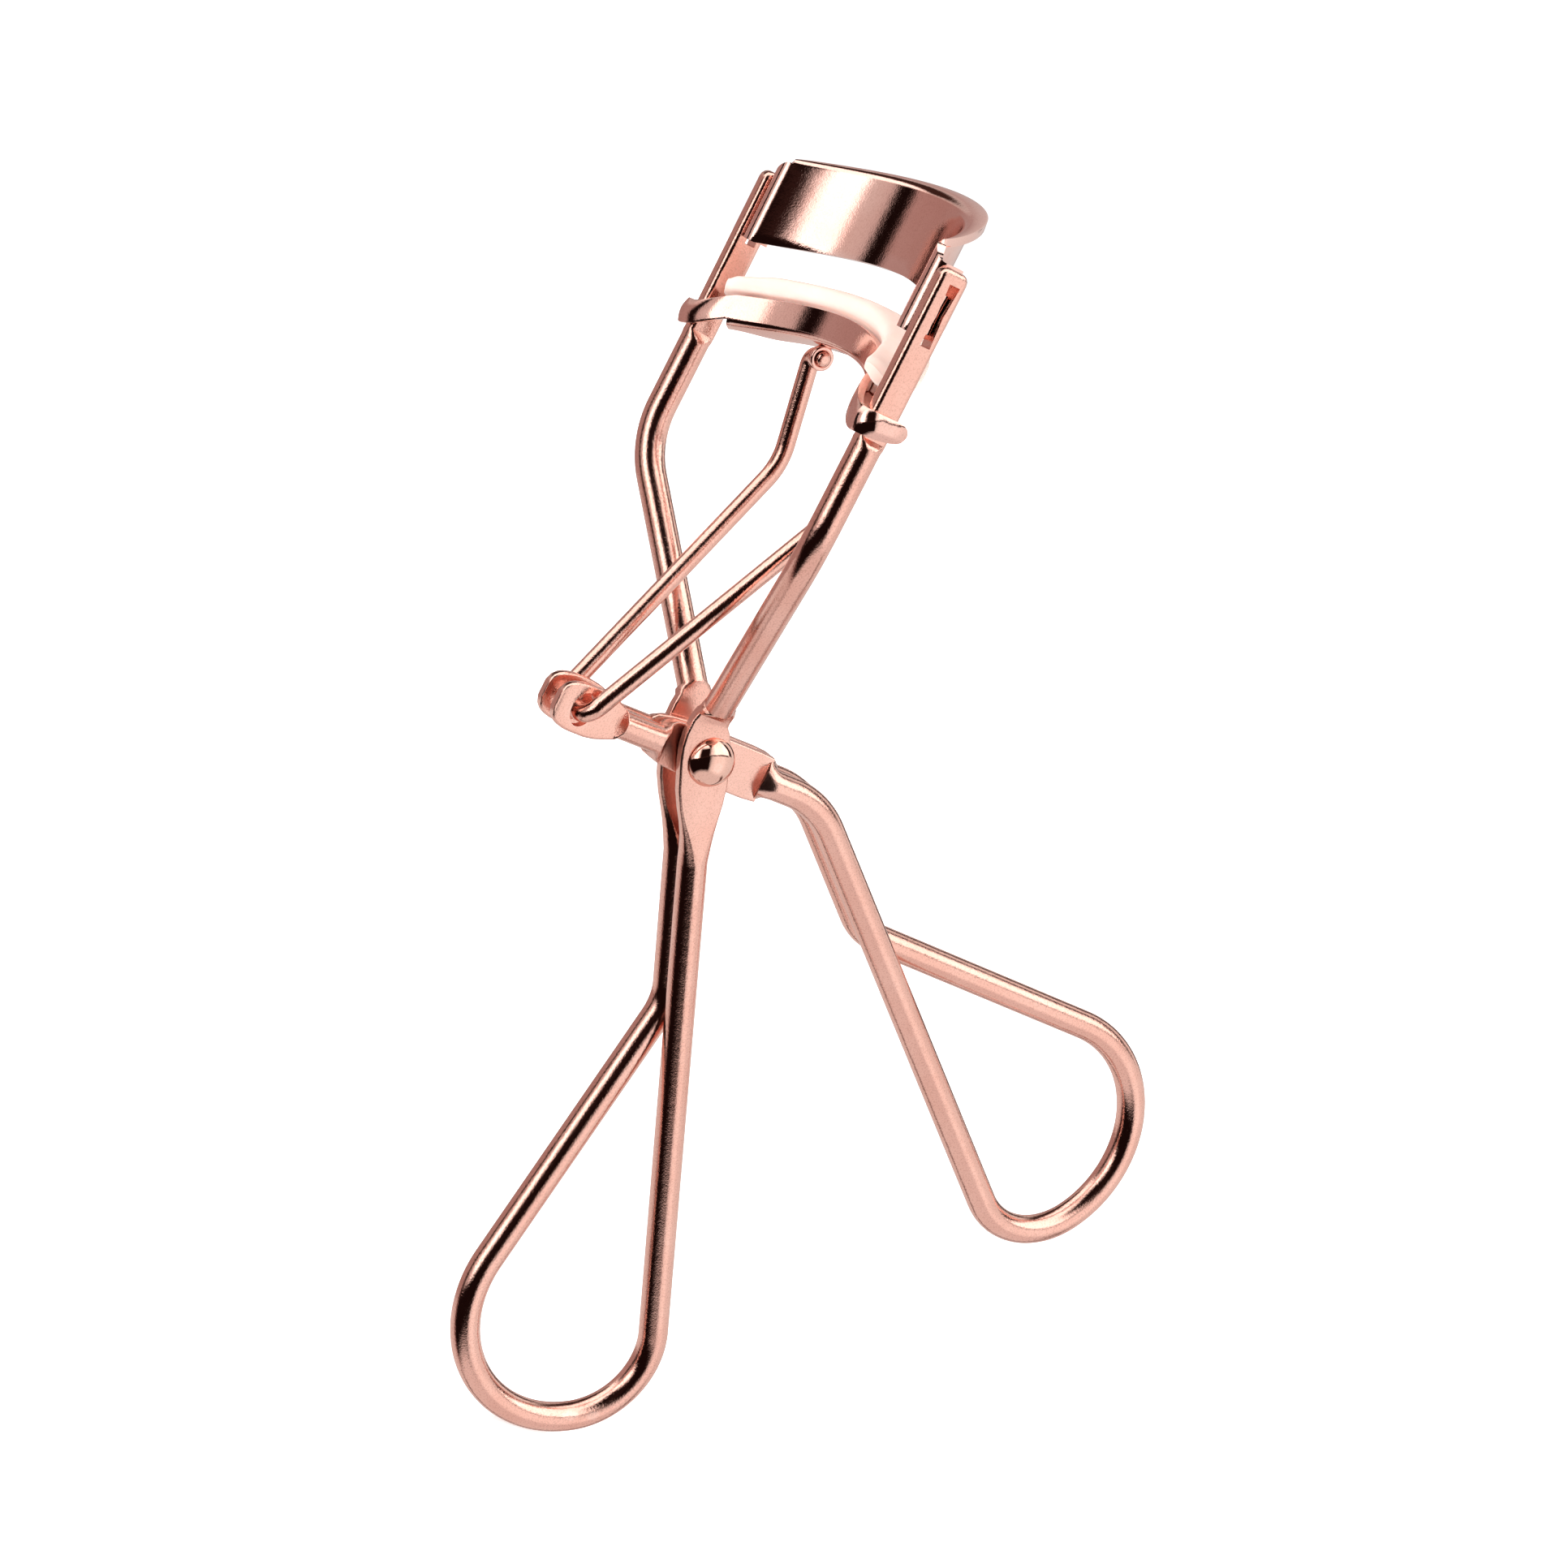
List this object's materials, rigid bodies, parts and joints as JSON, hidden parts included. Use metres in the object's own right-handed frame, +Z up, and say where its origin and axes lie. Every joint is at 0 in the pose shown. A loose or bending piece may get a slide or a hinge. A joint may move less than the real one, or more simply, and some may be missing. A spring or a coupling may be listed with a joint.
{
  "type": "eyelash curler",
  "caption": "Squeeze-handle eyelash curler: bent wire frame with two finger loops, fixed curved upper jaw and a padded lower jaw that slides on rails.",
  "frame": {"origin": "centre of the bounding box with the curler fully open", "axes": "+Z up along the two rails, +X along the pivot rivet across the jaws, +Y to the side the jaws bulge to and the handle opens to"},
  "size_m": [0.0374, 0.0824, 0.1206],
  "materials": {
    "frame_wire": "polished rose-gold plating on steel wire",
    "handle_wire": "polished rose-gold plating on steel wire",
    "pivot_rivet": "polished rose-gold plating on a steel rivet",
    "upper_jaw": "mirror-bright rose-gold plating on pressed steel",
    "lower_jaw": "mirror-bright rose-gold plating on pressed steel",
    "silicone_pad": "soft satin silicone, very pale pink",
    "link_wire": "polished rose-gold plating on steel wire"
  },
  "bodies": {
    "frame": {"frame_wire": "frame_wire", "upper_jaw": "upper_jaw", "pivot_rivet": "pivot_rivet"},
    "handle": {"handle_wire": "handle_wire"},
    "lower_jaw_assembly": {"lower_jaw": "lower_jaw", "silicone_pad": "silicone_pad"},
    "link": {"link_wire": "link_wire"}
  },
  "joints": [
    {"name": "handle_pivot", "type": "hinge", "parent": "frame", "child": "handle", "pos_m": [0, -0.02454, 0.00527], "axis": [1, 0, 0], "range_deg": [-12.11, 0]},
    {"name": "jaw_slide", "type": "slide", "parent": "frame", "child": "lower_jaw_assembly", "axis": [0, 0, 1], "range_m": [0, 0.003]},
    {"name": "link_lug_pivot", "type": "hinge", "parent": "lower_jaw_assembly", "child": "link", "pos_m": [0, -0.02849, 0.04167], "axis": [1, 0, 0], "range_deg": [0, 0.4]}
  ],
  "couplings": [
    {"joint": "handle_pivot", "follows": "jaw_slide", "rad_per_m": -70.42},
    {"joint": "link_lug_pivot", "follows": "jaw_slide", "rad_per_m": 2.275}
  ]
}
